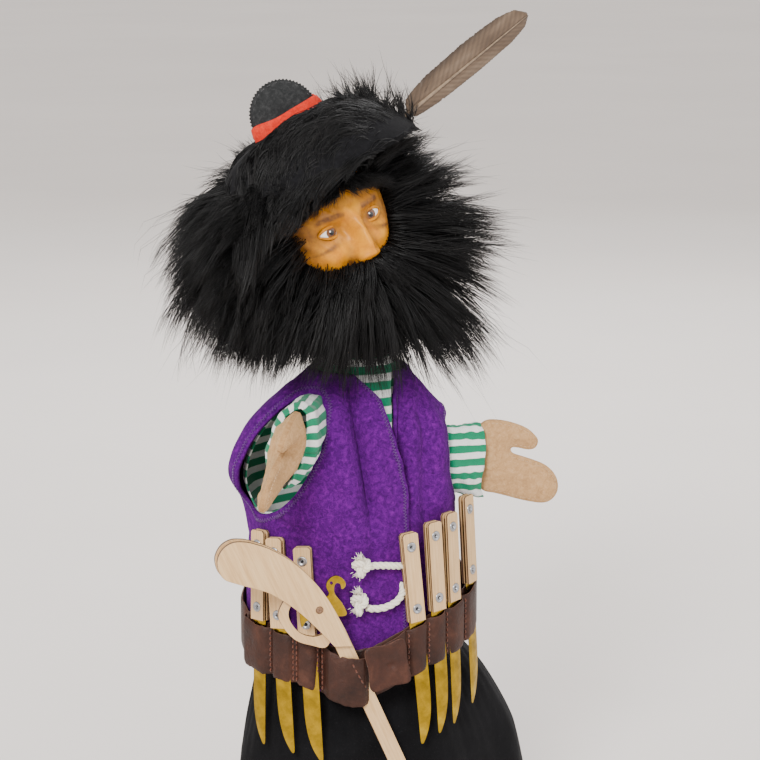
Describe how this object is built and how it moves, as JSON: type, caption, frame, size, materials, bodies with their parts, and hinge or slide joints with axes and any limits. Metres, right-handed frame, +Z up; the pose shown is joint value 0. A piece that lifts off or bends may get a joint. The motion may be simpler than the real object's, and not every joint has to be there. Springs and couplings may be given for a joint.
{
  "type": "hand puppet",
  "caption": "Glove puppet of a bearded brigand with fur hair, felt hat and waistcoat, belt of slim knives and a wooden pistol.",
  "frame": {"origin": "on the floor under the skirt's hem, at the middle of the box round the whole puppet", "axes": "+Z up, the costume faces -Y, +X is the puppet's own left"},
  "size_m": [0.2073, 0.1783, 0.4699],
  "materials": {
    "cotton": "plain black cotton, soft folds",
    "striped_cotton": "woven cotton with green and white stripes",
    "purple_felt": "thick brushed purple felt",
    "tan_felt": "thick tan felt, brushed",
    "black_felt": "charcoal wool felt",
    "red_felt": "orange-red felt strip",
    "fur": "long-pile black faux fur",
    "cord": "twisted undyed cotton cord",
    "leather": "dark brown smooth leather, satin",
    "plywood": "sanded light plywood with darker plies on the edges",
    "dowel": "sanded darker hardwood",
    "painted_wood": "carved and painted ochre with brown antiquing, satin",
    "brass": "polished sheet brass",
    "card": "wound card tube",
    "feather": "brown-grey quill feather"
  },
  "bodies": {
    "torso": {"skirt": "cotton", "shirt_body": "striped_cotton", "waistcoat_front_right": "purple_felt", "waistcoat_front_left": "purple_felt", "waistcoat_back": "purple_felt", "lace_upper": "cord", "lace_lower": "cord", "belt_strap": "leather", "belt_loops_right": "leather", "belt_loops_left": "leather", "belt_holster": "leather"},
    "neck": {"neck_tube": "card"},
    "head": {"head": "painted_wood", "hair": "fur", "beard": "fur", "moustache": "fur", "hat_brim": "black_felt", "hat_crown": "black_felt", "hat_band": "red_felt", "feather": "feather"},
    "arm_left": {"sleeve_left": "striped_cotton"},
    "arm_right": {"sleeve_right": "striped_cotton"},
    "wrist_left": {"hand_left": "tan_felt"},
    "wrist_right": {"hand_right": "tan_felt"},
    "tab": {"belt_tab": "leather"},
    "knife_1": {"knife_1_blade": "brass", "knife_1_scale_front": "plywood", "knife_1_scale_back": "plywood"},
    "knife_2": {"knife_2_blade": "brass", "knife_2_scale_front": "plywood", "knife_2_scale_back": "plywood"},
    "knife_3": {"knife_3_blade": "brass", "knife_3_scale_front": "plywood", "knife_3_scale_back": "plywood"},
    "knife_4": {"knife_4_blade": "brass", "knife_4_scale_front": "plywood", "knife_4_scale_back": "plywood"},
    "knife_5": {"knife_5_blade": "brass", "knife_5_scale_front": "plywood", "knife_5_scale_back": "plywood"},
    "knife_6": {"knife_6_blade": "brass", "knife_6_scale_front": "plywood", "knife_6_scale_back": "plywood"},
    "knife_7": {"knife_7_blade": "brass", "knife_7_scale_front": "plywood", "knife_7_scale_back": "plywood"},
    "pistol": {"pistol_stock_front": "plywood", "pistol_stock_rear": "plywood", "pistol_core": "plywood", "pistol_pin": "dowel"},
    "cock": {"pistol_cock": "brass"}
  },
  "joints": [
    {"name": "neck_nod", "type": "hinge", "parent": "torso", "child": "neck", "pos_m": [-0.00465, 0.0012, 0.292], "axis": [1, 0, 0], "range_deg": [-15, 18]},
    {"name": "head_turn", "type": "hinge", "parent": "neck", "child": "head", "pos_m": [-0.00465, 0.0012, 0.292], "axis": [-0.2974, -0.0372, 0.954], "range_deg": [-35, 35]},
    {"name": "arm_left_lift", "type": "hinge", "parent": "torso", "child": "arm_left", "pos_m": [0.03535, -0.0038, 0.237], "axis": [-0.1045, -0.9945, 0], "range_deg": [-6, 20]},
    {"name": "arm_right_lift", "type": "hinge", "parent": "torso", "child": "arm_right", "pos_m": [-0.04465, -0.0248, 0.259], "axis": [-0.8719, 0.4159, 0.2586], "range_deg": [-20, 20]},
    {"name": "wrist_left_lift", "type": "hinge", "parent": "arm_left", "child": "wrist_left", "pos_m": [0.05922, -0.00631, 0.237], "axis": [-0.1045, -0.9945, 0], "range_deg": [-8, 8]},
    {"name": "wrist_right_lift", "type": "hinge", "parent": "arm_right", "child": "wrist_right", "pos_m": [-0.05605, -0.04925, 0.25994], "axis": [-0.8719, 0.4159, 0.2586], "range_deg": [-12, 12]},
    {"name": "tab_open", "type": "hinge", "parent": "torso", "child": "tab", "pos_m": [0.00435, -0.0574, 0.144], "axis": [0, 0, 1], "range_deg": [0, 60]},
    {"name": "knife_1_draw", "type": "slide", "parent": "torso", "child": "knife_1", "axis": [0.027, 0.057, 0.998], "range_m": [0, 0.006]},
    {"name": "knife_2_draw", "type": "slide", "parent": "torso", "child": "knife_2", "axis": [-0.028, 0.098, 0.9948], "range_m": [0, 0.011]},
    {"name": "knife_3_draw", "type": "slide", "parent": "torso", "child": "knife_3", "axis": [-0.036, 0.079, 0.9962], "range_m": [0, 0.022]},
    {"name": "knife_4_draw", "type": "slide", "parent": "torso", "child": "knife_4", "axis": [-0.089, 0.03, 0.9956], "range_m": [0, 0.06]},
    {"name": "knife_5_draw", "type": "slide", "parent": "torso", "child": "knife_5", "axis": [-0.054, 0.032, 0.998], "range_m": [0, 0.06]},
    {"name": "knife_6_draw", "type": "slide", "parent": "torso", "child": "knife_6", "axis": [-0.038, 0.037, 0.9986], "range_m": [0, 0.06]},
    {"name": "knife_7_draw", "type": "slide", "parent": "torso", "child": "knife_7", "axis": [-0.054, 0.013, 0.9985], "range_m": [0, 0.06]},
    {"name": "pistol_draw", "type": "slide", "parent": "torso", "child": "pistol", "axis": [-0.402, 0, 0.9157], "range_m": [0, 0.04]},
    {"name": "cock_pull", "type": "hinge", "parent": "pistol", "child": "cock", "pos_m": [-0.04265, -0.0533, 0.175], "axis": [0, 1, 0], "range_deg": [-25, 10]}
  ]
}
